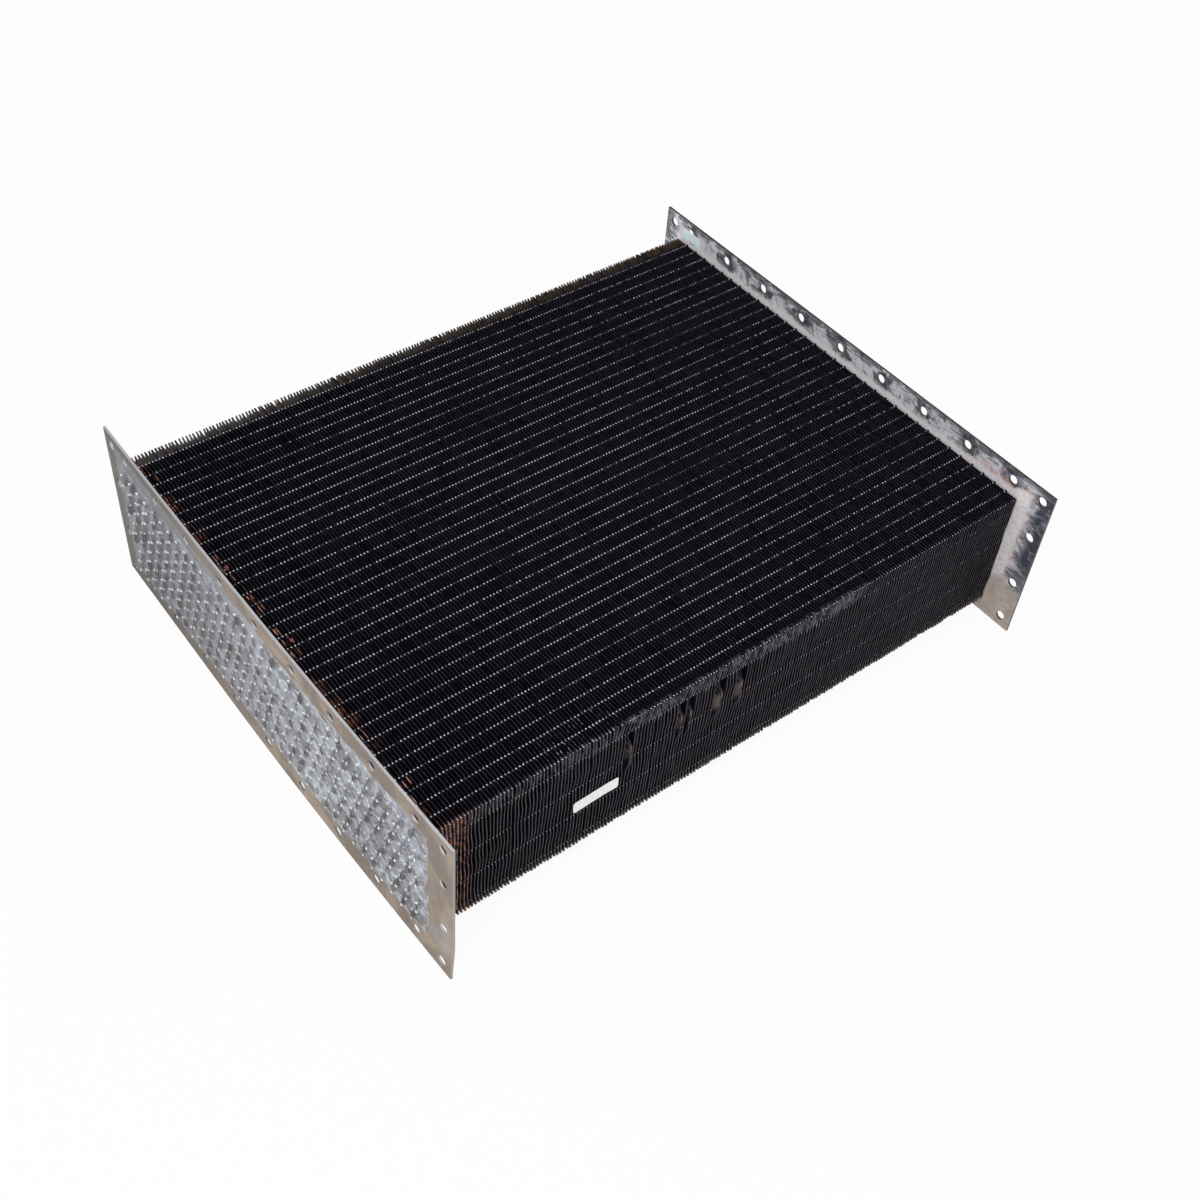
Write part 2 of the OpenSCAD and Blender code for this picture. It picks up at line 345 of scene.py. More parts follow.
def finPaint():
    look = {
        "paint": (0.0072, 0.0058, 0.0118, 1), "dusty": paint(56, 50, 55), "copper": paint(206, 138, 112),
        # rubbedAndGlint is rubbed paint with a painted highlight
        "rubbedAndGlint": paint(128, 124, 130), "olive": paint(80, 63, 45), "scratch": paint(196, 196, 204),
        # fringeShade is painted shade for the near side's lower edge
        "fringeShade": paint(126, 108, 82), "crumple": paint(128, 114, 104),
        "sideRim": paint(74, 69, 76), "topRim": paint(92, 90, 104),
        # How far from the left plate the paint is missing in places, on top and down the near side
        "bareDepth": 26 * mm, "sideBare": (40 * mm, 54 * mm),
        "rubbedGlintZ": (0.17, 0.18), "scratchedX": (-0.295, -0.175),  # where the corner is rubbed and painted with a highlight, and where it is scratched
    }
    r = newRecipe("finPaint")
    depth = r.x + innerX
    dashes = r.noise((0.9, 13, 5), 2)
    patch = r.noise((60, 44, 44), 2)
    reach = 1 - r.rise(depth + (r.noise(14, 2) - 0.5) * 0.03, 0.25 * look["bareDepth"], look["bareDepth"])
    skin = r.rise(r.z, finHigh.z - 9 * mm, finHigh.z - 4 * mm)  # only what shows from above or from the side
    skin = r.larger(skin, r.rise(finLow.y + 9 * mm - r.y, 0, 5 * mm))
    bare = reach * skin * r.rise(dashes + (patch - 0.5) * 1.1, 0.56, 0.63)
    firstFins = (1 - r.rise(depth, *look["sideBare"])) * r.rise(finLow.y + 6 * mm - r.y, 0, 3 * mm)
    bare = r.larger(bare, firstFins * r.rise(r.noise((2, 20, 7), 2), 0.44, 0.58) * 0.6)
    dust = r.noise((5, 40, 30), 3)
    streak = r.noise((3.2, 40, 34), 2)
    nearEdge = r.rise(finLow.y + 3 * mm - r.y, 0, 3 * mm)
    colour = r.mix(nearEdge * 0.55 * r.rise(dust, 0.2, 0.7) + 0.03, look["paint"], look["dusty"])
    sideRim = r.rise(r.absolute(r.facing(1)), 0.3, 0.8)
    topRim = r.rise(r.absolute(r.facing(2)), 0.6, 0.9)
    isNear = r.rise(0 - r.y, -0.05, 0.05)
    sideTone = r.mix(isNear, look["olive"], look["sideRim"])
    colour = r.mix(sideRim * (0.16 + 0.2 * isNear + 0.6 * r.rise(streak, 0.42, 0.66)), colour, sideTone)
    leaning = r.rise(0.19 - r.absolute(r.x + 0.01), 0, 0.03)
    hidden = leaning * r.rise(finLow.y + 12 * mm - r.y, 0, 4 * mm)
    colour = r.mix(topRim * r.rise(streak, 0.25, 0.6) * (1 - hidden * 0.8), colour, look["topRim"])
    # The knocked corner is painted grey just below its top: rubbed paint, and a painted highlight where the
    # leaning fins face the light
    under = r.rise(finHigh.z - r.z, 0.4 * mm, 1.2 * mm)
    rubbedGlintFrom, rubbedGlintTo = look["rubbedGlintZ"]
    leaning = leaning * r.rise(r.z, rubbedGlintFrom + 4 * mm, rubbedGlintTo) * under
    leaning = leaning * (0.45 + 0.55 * r.rise(r.x, -0.2, 0.1))
    high = r.rise(r.z + (streak - 0.5) * 0.02, rubbedGlintFrom, rubbedGlintTo - 2 * mm) * under
    wornAndGlint = r.larger(leaning, high * r.rise(0.16 - r.x, 0, 0.05) * 0.7)
    # rubbed paint and painted highlight along the near edge
    rubbedGlintMask = r.rise(finLow.y + 8 * mm - r.y, 0, 5 * mm) * wornAndGlint * r.rise(r.noise((1.6, 30, 16), 2), 0.4, 0.62)
    colour = r.mix(rubbedGlintMask * 0.85, colour, look["rubbedAndGlint"])
    # A few scratches on top, near the side label
    low, high = look["scratchedX"]
    scratched = r.rise((high - low) / 2 - r.absolute(r.x - (low + high) / 2), 0, 0.03)
    scratched = scratched * r.rise(finLow.y + 0.05 - r.y, 0, 0.03)
    scratched = scratched * r.rise(r.z, finHigh.z - 3 * mm, finHigh.z - 1 * mm)
    colour = r.mix(scratched * r.rise(r.noise((3, 7, 3), 2), 0.6, 0.66), colour, look["scratch"])
    far = r.rise(r.y, finHigh.y - 19 * mm, finHigh.y - 9 * mm)
    colour = r.mix(far * r.rise(r.noise((3, 20, 20), 2), 0.3, 0.6) * 0.9, colour, look["olive"])
    # Painted shade: brown on the near side's lower edge stands in for the floor's shadow between the teeth
    low = 1 - r.rise(r.z + (streak - 0.5) * 0.02, finLow.z + 1 * mm, finLow.z + 9 * mm)
    colour = r.mix(low * nearEdge * r.rise(dashes, 0.3, 0.6) * 0.85, colour, look["fringeShade"])
    crumpled = r.rise(r.absolute(r.facing(1)), 0.3, 0.6) * r.rise(finLow.y + 9 * mm - r.y, 0, 1 * mm)
    crumpled = crumpled * r.rise(r.y - finLow.y, 0.4 * mm, 0.8 * mm) * r.rise(0.154 - r.z, 0, 0.008)
    colour = r.mix(crumpled * 0.55, colour, look["crumple"])
    colour = r.mix(bare, colour, look["copper"])
    rough = 0.42 + (dust - 0.5) * 0.24
    return r.finish(colour=colour, rough=rough, metal=bare * 0.3, shine=0.14,
                    normal=r.bump(r.noise(6, 3), 0.25))


def collarPaint():
    look = {
        # The tin colour is near white: tin with a painted highlight
        "paint": (0.0072, 0.0058, 0.0118, 1), "tin": paint(246, 249, 255), "tinDull": paint(138, 144, 156),
    }
    r = newRecipe("collarPaint")
    # Where the collars face up or down the paint is thin and tin shows, painted near white as a highlight
    flat = r.rise(r.absolute(r.facing(2)), 0.3, 0.7)
    spots = r.noise((3.1, 9, 9), 1) - 0.07 * r.rise(r.x, -0.05, 0.3)
    tin = r.mix(r.rise(spots, 0.38, 0.56), look["tinDull"], look["tin"])
    inside = r.rise(r.y, finLow.y + 2 * mm, finLow.y + 6 * mm)  # the lower cut collars hardly show
    inside = r.larger(inside, r.rise(r.z, rowZs[0], rowZs[0] + 5 * mm))
    wornAndGlint = flat * r.rise(spots, 0.3, 0.44) * (0.42 + 0.58 * inside)
    # tin where the paint is thin, with a painted highlight
    colour = r.mix(wornAndGlint, look["paint"], tin)
    return r.finish(colour=colour, rough=0.34 + spots * 0.1, metal=wornAndGlint * 0.2,
                    normal=r.bump(r.noise(2, 2), 0.2))


def bareCopper():
    look = {"copper": paint(208, 146, 124), "dark": paint(112, 74, 62), "paleGlint": paint(250, 214, 200)}
    r = newRecipe("bareCopper")
    patches = r.noise((3, 6, 4), 3)
    colour = r.mix(r.rise(patches, 0.3, 0.52), look["dark"], look["copper"])
    # Painted highlight: the palest patches are near-white glints on the copper
    colour = r.mix(r.rise(patches, 0.58, 0.7), colour, look["paleGlint"])
    return r.finish(colour=colour, rough=0.35 + patches * 0.15, metal=0.35, normal=r.bump(patches, 0.3))


def labelStock(name, colour, stain, gloss):
    r = newRecipe(name)
    fibres = r.noise((0.7, 0.7, 0.9), 3)
    cloud = r.noise(14, 3)
    tone = r.mix(r.rise(cloud, 0.45, 0.75) * 0.4, colour, stain)
    tone = r.mix(r.rise(r.noise((2.2, 2.2, 1.4), 3), 0.62, 0.74) * 0.25, tone, stain)
    rough = gloss + (fibres - 0.5) * 0.1
    return r.finish(colour=tone, rough=rough, metal=0, normal=r.bump(fibres + cloud, 0.12))


def addPiece(name, points, faces, materials, faceMaterials=None, sharp=0.7):
    mesh = bpy.data.meshes.new(name)
    mesh.from_pydata(np.asarray(points).tolist(), [], faces)
    for material in materials:
        mesh.materials.append(material)
    mesh.polygons.foreach_set("use_smooth", np.ones(len(mesh.polygons), bool))
    if faceMaterials is not None:
        mesh.polygons.foreach_set("material_index", np.asarray(faceMaterials, np.int32))
    mesh.set_sharp_from_angle(angle=sharp)
    mesh.update()
    piece = bpy.data.objects.new(name, mesh)
    bpy.context.scene.collection.objects.link(piece)
    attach(piece, "root")
    return piece


def makeRipple(draw, shortest, longest, count=14):
    # A smooth random field: a sum of waves with lengths between shortest and longest, about 1 high
    lengths = shortest * (longest / shortest) ** draw.random(count)
    ways = draw.normal(size=(count, 3))
    ways /= np.linalg.norm(ways, axis=1)[:, None] * lengths[:, None]
    phases = draw.random(count) * 2 * math.pi
    return lambda points: np.sin(points @ ways.T * 2 * math.pi + phases).sum(1) / math.sqrt(count / 2)


def ramp(value, low, high):
    share = np.clip((value - low) / (high - low), 0, 1)
    return share * share * (3 - 2 * share)


def plateau(value, stops):
    # 0 outside the four stops and 1 between the middle two
    start, full, ending, end = stops
    return ramp(value, start, full) * ramp(-value, -end, -ending)


def sheetFaces(present):
    # A closed thin sheet over a grid of cells: first the front points, then the back ones
    across, up = present.shape
    index = np.arange((across + 1) * (up + 1)).reshape(across + 1, up + 1)
    back = index.size
    padded = np.pad(present, 1)
    faces = []
    for j, k in zip(*np.nonzero(present)):
        a, b, c, d = (int(i) for i in (index[j, k], index[j + 1, k], index[j + 1, k + 1], index[j, k + 1]))
        faces.append((a, d, c, b))
        faces.append((a + back, b + back, c + back, d + back))
        if not padded[j + 1, k]:
            faces.append((a, b, b + back, a + back))
        if not padded[j + 1, k + 2]:
            faces.append((d, d + back, c + back, c))
        if not padded[j, k + 1]:
            faces.append((a, a + back, d + back, d))
        if not padded[j + 2, k + 1]:
            faces.append((b, c, c + back, b + back))
    return faces


def dropUnused(points, faces):
    used = sorted({i for face in faces for i in face})
    places = {old: new for new, old in enumerate(used)}
    return np.asarray(points)[used], [tuple(places[i] for i in face) for face in faces]


def prism(outline, fromX, toX):
    # A closed solid: the outline runs anticlockwise seen from +X
    count = len(outline)
    points = [(x, y, z) for x in (fromX, toX) for y, z in outline]
    sides = [(i, (i + 1) % count, (i + 1) % count + count, i + count) for i in range(count)]
    return points, sides + [tuple(reversed(range(count))), tuple(range(count, 2 * count))]


def strip(outline, inside, fromX, toX):
    # A closed band between two open lines of points, run along X
    count = len(outline)
    loop = list(outline) + list(reversed(inside))
    points = [(x, y, z) for x in (fromX, toX) for y, z in loop]
    total = len(loop)
    faces = [(i, (i + 1) % total, (i + 1) % total + total, i + total) for i in range(total)]
    for i in range(count - 1):
        quad = (i, i + 1, total - 2 - i, total - 1 - i)
        faces.append(tuple(reversed(quad)))
        faces.append(tuple(q + total for q in quad))
    return points, faces


# The camera of the photograph, on a sensor 36 mm wide
cameraFit = {
    "place": (-0.9046, -1.0563, 1.4852), "forward": (0.4576, 0.508, -0.7298), "lens": 47.51, "roll": 5.72,
}


def makeCamera(fit):
    camera = bpy.data.objects.new("camera", bpy.data.cameras.new("camera"))
    camera.data.lens = fit["lens"]
    camera.data.sensor_width = 36
    camera.data.clip_end = 100
    camera.rotation_mode = "QUATERNION"
    camera.location = fit["place"]
    level = Vector(fit["forward"]).to_track_quat("-Z", "Y")
    camera.rotation_quaternion = level @ Quaternion((0, 0, 1), math.radians(fit["roll"]))
    bpy.context.scene.collection.objects.link(camera)
    bpy.context.scene.camera = camera


makeCamera(cameraFit)
print("camera placed")

plateFinish = plateMetal()
tinFinish, coatFinish = tinMetal("tubeTin", True), tinMetal("coatTin", False)
finFinish, collarFinish, copperFinish = finPaint(), collarPaint(), bareCopper()
tubeFinish = tubePaint()
paperFinish = labelStock("labelPaper", paint(252, 252, 251), paint(228, 228, 226), 0.6)
filmFinish = labelStock("labelFilm", paint(240, 255, 255), paint(196, 250, 248), 0.35)
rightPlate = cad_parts["right_header_plate"]
rightPlate.data.materials.clear()
rightPlate.data.materials.append(plateFinish)
print("materials made")

# The left header plate bows outwards in the middle and at its lower near corner
bowLook = {
    "middle": 4.4 * mm, "ends": 0.3 * mm,
    "low": 2.8 * mm, "lowFrom": 62 * mm,  # the lower near corner, and the height that its bend starts from
    "lowFades": (-0.1, 0.3),  # where along Y that bend fades out
    "flare": 2 * mm,          # how much the bolt holes widen inwards
    "cuts": (30, 7),          # lines that it can bend at, along Y and up to the bend's height
}


def bow(points, look):
    share = 1 - (points[:, 1] / plateHigh.y) ** 2
    low = look["low"] * ramp(-points[:, 2], -look["lowFrom"], 0) * (1 - ramp(points[:, 1], *look["lowFades"]))
    return look["ends"] + (look["middle"] - look["ends"]) * share + low


def makeBowedPlate(name, node, look):
    shape = bmesh.new()
    shape.from_mesh(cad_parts[node].data)
    along, up = look["cuts"]
    cuts = [(1, y) for y in np.linspace(plateLow.y, plateHigh.y, along)[1:-1]]
    cuts += [(2, z) for z in np.linspace(plateLow.z, look["lowFrom"], up)[1:]]
    for axis, at in cuts:
        place, way = Vector((0, 0, 0)), Vector((0, 0, 0))
        place[axis], way[axis] = at, 1
        parts = [*shape.verts, *shape.edges, *shape.faces]
        bmesh.ops.bisect_plane(shape, geom=parts, plane_co=place, plane_no=way)
    shape.verts.index_update()
    points = np.array([corner.co for corner in shape.verts])
    middles = [(y, z) for y in boltYs for z in (boltZ, plateHigh.z - boltZ)]
    middles += [(y, z) for y in (-cornerY, cornerY) for z in cornerZs]
    inner = points[:, 0] > -innerX - 0.1 * mm
    for y, z in middles:
        away = points[:, 1:] - (y, z)
        near = inner & (np.hypot(*away.T) < boltWide / 2 + 0.5 * mm)
        points[near, 1:] += away[near] * look["flare"] / (boltWide / 2)
    points[:, 0] -= bow(points, look)
    faces = [[corner.index for corner in face.verts] for face in shape.faces]
    shape.free()
    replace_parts(addPiece(name, points, faces, [plateFinish], sharp=0.5), node)


makeBowedPlate("plate_left", "left_header_plate", bowLook)
print("left plate made")

# The fins: thin sheets, cut through the outermost holes of every other row, with a collar on each tube of the
# top and bottom rows and half collars where the holes are cut through
finLook = {
    "collarLong": 1.15 * mm, "collarWall": 0.28 * mm, "collarDeep": 5 * mm,
    "cutCollar": 0.8 * mm,  # how far the half collars on the side edges stand beyond the others
    "hem": 1.2 * mm,        # width of the folded side edges
    "shadowFoot": 2.4 * mm,       # width of the lower corners, widened so that dark fin fills in for the floor's shadow between the teeth
    "notchDeep": 0.4 * mm, "notchRim": 0.5 * mm,
    "bendLines": (5 * mm, 10 * mm), "innerLines": 5,  # where a fin can bend: near its side edges and inside
    "wave": 0.3 * mm,       # slow waves that neighbouring fins share
    "edgeWave": 0.65 * mm,  # quicker waves along the free side edges
    "slow": (70 * mm, 260 * mm), "quick": (28 * mm, 90 * mm),  # the shortest and longest of these waves
    "edgeReach": 8 * mm,    # how far these reach inwards
    "stray": 0.34 * mm,     # how far one fin's edge strays by itself
    "strayWave": 16 * mm, "farStray": 2.2,  # the length of its wave, and how much more the far edge strays
    "ragged": 0.9 * mm,     # how unevenly the lower corners hang
    "raggedWide": 6 * mm, "raggedTall": 4 * mm,
    "lean": 6.5 * mm,       # how far the knocked top corner leans over
    "leanWide": 11 * mm, "leanZ": 0.18, "leanFrom": -0.188, "leanTo": 0.169, "leanFade": 0.02,
    # Where fins of the near side are pushed apart, from and to along X, and the heights of the holes and of
    # the flaps under them: where each starts, is full, starts to end and ends
    "clumps": [(-0.18, -0.168), (-0.109, -0.098), (-0.095, -0.0855), (-0.053, -0.041), (-0.023, -0.011)],
    "clumpWide": 9 * mm, "clumpHole": (0.148, 0.158, 0.168, 0.178), "clumpFlap": (0.112, 0.124, 0.146, 0.156),
    "holeDeep": 5.5 * mm, "holePush": 0.35, "flapTurn": 0.85,
}

# Bits of fin edge beside the left plate that are knocked over and bare
flapLook = {
    # The places along Y, how far each reaches and the share that is knocked over
    "places": [(-0.27, 0.03, 0.95), (-0.31, 0.02, 0.85), (-0.03, 0.025, 0.8), (0.045, 0.02, 0.8),
               (0.13, 0.022, 0.8), (-0.15, 0.05, 0.4), (0.2, 0.1, 0.25)],
    "depth": 26 * mm,  # how far from the plate they reach
    "tries": 3,        # the most between two tubes
    # The range of each size, in mm: length, lean of the tip, how far the top sinks, height, and skew
    "long": (4, 12), "tip": (-1.9, 1.6), "drop": (0.1, 0.9), "root": (2.5, 5), "skew": (-1.2, 1.2),
    "thick": 0.35 * mm, "clear": 2 * mm,  # its thickness, and its distance from the tubes
}


def finTemplate(look):
    # One fin with its middle at x = 0: points, faces, and which faces are collar
    halfTube = tubeTall / 2 + look["notchRim"]
    width = finHigh.y - finLow.y
    side = [0, look["notchDeep"], *look["bendLines"], tubeYs[0][0] - finLow.y]
    middle = np.linspace(side[-1], width - side[-1], look["innerLines"] + 2)[1:-1]
    lines = np.array(side + list(middle) + [width - s for s in reversed(side)]) + finLow.y
    levels = [finLow.z, finHigh.z]
    for z in rowZs[::2]:
        levels += [z - halfTube, z, z + halfTube]
    for upper, lower in zip(rowZs[0:-2:2], rowZs[2::2]):
        free = upper - lower - 2 * halfTube
        levels += [lower + halfTube + free / 3, lower + halfTube + 2 * free / 3]
    levels = np.array(sorted(levels))
    present = np.ones((len(lines) - 1, len(levels) - 1), bool)
    centres = (levels[:-1] + levels[1:]) / 2
    for z in rowZs[::2]:
        cut = abs(centres - z) < halfTube
        present[0, cut] = False
        present[-1, cut] = False
    flat = [(y, z) for y in lines for z in levels]
    # The free edges are folded back on themselves
    rims = {(y, z) for y in (lines[0], lines[1], lines[-2], lines[-1]) for z in levels}
    widths = {spot: look["hem"] for spot in rims}
    # The lower corners are widened: dark fin standing in for the floor's shadow between the teeth
    widths |= {(y, levels[0]): look["shadowFoot"] for y in (*lines[:4], *lines[-4:])}
    points = [(side * widths.get(spot, finThick) / 2, *spot) for side in (-1, 1) for spot in flat]
    points, faces = dropUnused(points, sheetFaces(present))
    kinds = [0] * len(faces)
    solids = []
    radius = tubeWide / 2 + look["collarWall"]
    arch = [(radius * math.cos(a), radius * math.sin(a)) for a in np.radians(range(0, 181, 60))]
    reach = (-finThick / 2 - look["collarLong"], -finThick / 2)
    for row, sign in ((0, 1), (len(rowZs) - 1, -1)):
        nose = rowZs[row] + sign * (tubeTall - tubeWide) / 2
        outline = arch + [(-radius, -look["collarDeep"]), (radius, -look["collarDeep"])]
        if sign < 0:
            outline = [(u, -v) for u, v in reversed(outline)]
        for y in tubeYs[row]:
            solids.append(prism([(y + u, nose + v) for u, v in outline], *reach))
        for edge, way in ((finLow.y, 1), (finHigh.y, -1)):  # half a collar where a hole is cut through
            half = [(1.25 * radius, -1 * mm), (1.25 * radius, 0), (0.7 * radius, radius),
                    (0, 1.2 * radius), (0, -1 * mm)]
            half = [(u * way, sign * v) for u, v in half]
            if sign * way < 0:
                half.reverse()
            solids.append(prism([(edge + u, nose + sign * look["cutCollar"] + v) for u, v in half], *reach))
    deep = look["notchDeep"]
    wall = look["collarWall"]
    rim = [(0, 0.1 * mm), (0.75 * deep, -0.2 * mm), (deep + wall, -0.8 * mm)]  # the end of a cut collar
    for z in rowZs[::2]:
        for sign in (-1, 1):
            bend = [(u, z + sign * (halfTube + v)) for u, v in rim]
            back = [(u, v + sign * wall) for u, v in bend]
            for edge, way in ((finLow.y, 1), (finHigh.y, -1)):
                ends = [[(edge + way * u, v) for u, v in line] for line in (bend, back)]
                if sign * way < 0:
                    ends.reverse()
                solids.append(strip(*ends, *reach))
    points = points.tolist()
    for extra, extraFaces in solids:
        start = len(points)
        points += extra
        faces += [tuple(i + start for i in face) for face in extraFaces]
        kinds += [1] * len(extraFaces)
    return np.array(points), faces, kinds


def bendFins(points, middles, strays, look, ripples):
    # Moves the points of one pack: middles holds the x of each point's own fin, strays how that fin strays
    slow, quick = ripples
    moved = points.copy()
    spots = np.column_stack([middles, points[:, 1], points[:, 2]])
    fromNear, fromFar = points[:, 1] - finLow.y, finHigh.y - points[:, 1]
    loose = np.exp(-np.minimum(fromNear, fromFar) / look["edgeReach"])
    moved[:, 0] += look["wave"] * slow(spots)
    steady, swing, phase, hang = strays
    stray = steady + swing * np.sin(points[:, 2] / look["strayWave"] + phase)
    stray *= np.where(fromFar < fromNear, look["farStray"], 1)
    moved[:, 0] += loose * (look["edgeWave"] * quick(spots) + look["stray"] * stray)
    corner = np.clip((points[:, 2] - look["leanZ"]) / (finHigh.z - look["leanZ"]), 0, 1) ** 1.2
    fade = look["leanFade"]
    span = ramp(middles, look["leanFrom"] - fade, look["leanFrom"] + fade)
    span *= ramp(-middles, -look["leanTo"] - fade, -look["leanTo"] + fade)
    span *= 0.85 + 0.15 * slow(spots * 1.5)
    moved[:, 0] += look["lean"] * ramp(-fromNear, -look["leanWide"], 0) * corner * span
    lowest = ramp(-points[:, 2], -finLow.z - look["raggedTall"], -finLow.z)
    lowest *= ramp(-fromNear, -look["raggedWide"], 0)
    moved[:, 2] += lowest * np.maximum(hang, -1) * look["ragged"]
    hole, flap = plateau(points[:, 2], look["clumpHole"]), plateau(points[:, 2], look["clumpFlap"])
    for low, high in look["clumps"]:
        edge = ramp(-fromNear, -look["clumpWide"], 0) * ((middles > low) & (middles < high))
        moved[:, 1] += edge * hole * look["holeDeep"]
        moved[:, 0] += edge * hole * ((low + high) / 2 - middles) * look["holePush"]
        moved[:, 0] += edge * flap * np.clip(high - middles, 0, look["clumpWide"]) * look["flapTurn"]
    return moved


def knockedFlaps(draw, middles, look):
    # Each is a thin sheet that bends once on its way up
    solids = []
    for middle in middles:
        depth = middle + innerX
        if depth > look["depth"]:
            continue
        for a, b in zip(tubeYs[0], tubeYs[0][1:]):
            centre = (a + b) / 2
            share = max(s * math.exp(-((centre - y) / reach) ** 2) for y, reach, s in look["places"])
            for _ in range(look["tries"]):
                if draw.random() > share * (1.15 - depth / look["depth"]):
                    continue
                long = draw.uniform(*look["long"]) * mm
                start = draw.uniform(a + look["clear"], b - look["clear"] - long)
                tip, drop, root = (draw.uniform(*look[name]) * mm for name in ("tip", "drop", "root"))
                top = finHigh.z - drop
                outline = [(middle, finHigh.z - root), (middle + tip * 0.5, top - root * 0.3),
                           (middle + tip, top)]
                skew = draw.uniform(*look["skew"]) * mm
                near = [(x, start + skew * i / 2, z) for i, (x, z) in enumerate(outline)]
                far = [(x, start + long - skew * i / 2, z) for i, (x, z) in enumerate(outline)]
                points = [(x + side * look["thick"] / 2, y, z) for side in (-1, 1) for x, y, z in near + far]
                faces = []
                for i in (0, 1):
                    quad = (i, i + 1, i + 4, i + 3)
                    faces += [quad, tuple(q + 6 for q in reversed(quad))]
                ring = [0, 1, 2, 5, 4, 3]
                faces += [(p, p + 6, q + 6, q) for p, q in zip(ring, ring[1:] + ring[:1])]
                solids.append((points, faces))
    return solids


def makeFins(look):
    draw = np.random.default_rng(11)
    template, faces, kinds = finTemplate(look)
    ripples = makeRipple(draw, *look["slow"]), makeRipple(draw, *look["quick"])
    count = len(template)
    for name, middles in zip(packNames, packXs):
        everyPoint, everyFace = [], []
        for number, middle in enumerate(middles):
            everyPoint.append(template + [middle, 0, 0])
            everyFace += [tuple(i + number * count for i in face) for face in faces]
        owners = np.repeat(middles, count)
        strays = draw.normal(size=(4, len(middles))) * [[0.6], [0.35], [3], [1]]  # steady, swing, phase, hang
        strays = np.repeat(strays, count, axis=1)
        points = bendFins(np.concatenate(everyPoint), owners, strays, look, ripples)
        everyKind = kinds * len(middles)
        points = points.tolist()
        for extra, extraFaces in knockedFlaps(draw, middles, flapLook):
            start = len(points)
            points += extra
            everyFace += [tuple(i + start for i in face) for face in extraFaces]
            everyKind += [2] * len(extraFaces)
        finishes = [finFinish, collarFinish, copperFinish]
        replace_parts(addPiece("fins_" + name[-2:], points, everyFace, finishes, everyKind), name)


makeFins(finLook)
print("fins made")

# The tubes: hollow flat ovals with dipped, uneven ends
tubeLook = {
    "wall": 0.3 * mm,
    # The rest is in mm. Rings: depth behind the tip, growth of the outline, growth of the noses
    "rings": [(0, 0.0, 0.35), (0.9, 0.1, 0.8), (2.4, 0.05, 0.2), (4.8, 0.12, 0.2), (6.8, 0.5, 0.7),
              (8.9, 0, 0)],
    "innerRings": [0.3, 2, 14],
    "short": (0.25, 0.3),   # how far the tips stand back from the CAD tubes' ends, and by how much it varies
    "lens": (0.3, 0.18),    # how far the mouth bulges in the middle, and by how much it varies
    "lensDeep": 7,          # how far behind the tip that bulge ends
    "beadAndGlint": (0.6, 1.1),     # the smallest and largest bead on a nose, as a share of the ring's growth
    "uneven": (0.1, 0.16),  # how far a point strays outwards and along the tube
    "saddle": 1.8,          # how far the middle of the mouth stands back
    "saddleDeep": (5, 14),  # how far behind the tip that ends, outside and inside
}


def tubeOutline(width, tall):
    # Points round a flat oval, anticlockwise seen from +X
    radius, straight = width / 2, (tall - width) / 2
    top = [(radius * math.cos(a), straight + radius * math.sin(a)) for a in np.radians(range(0, 181, 30))]
    bottom = [(-u, -v) for u, v in top]
    return np.array(top + [(-radius, 0)] + bottom + [(radius, 0)])


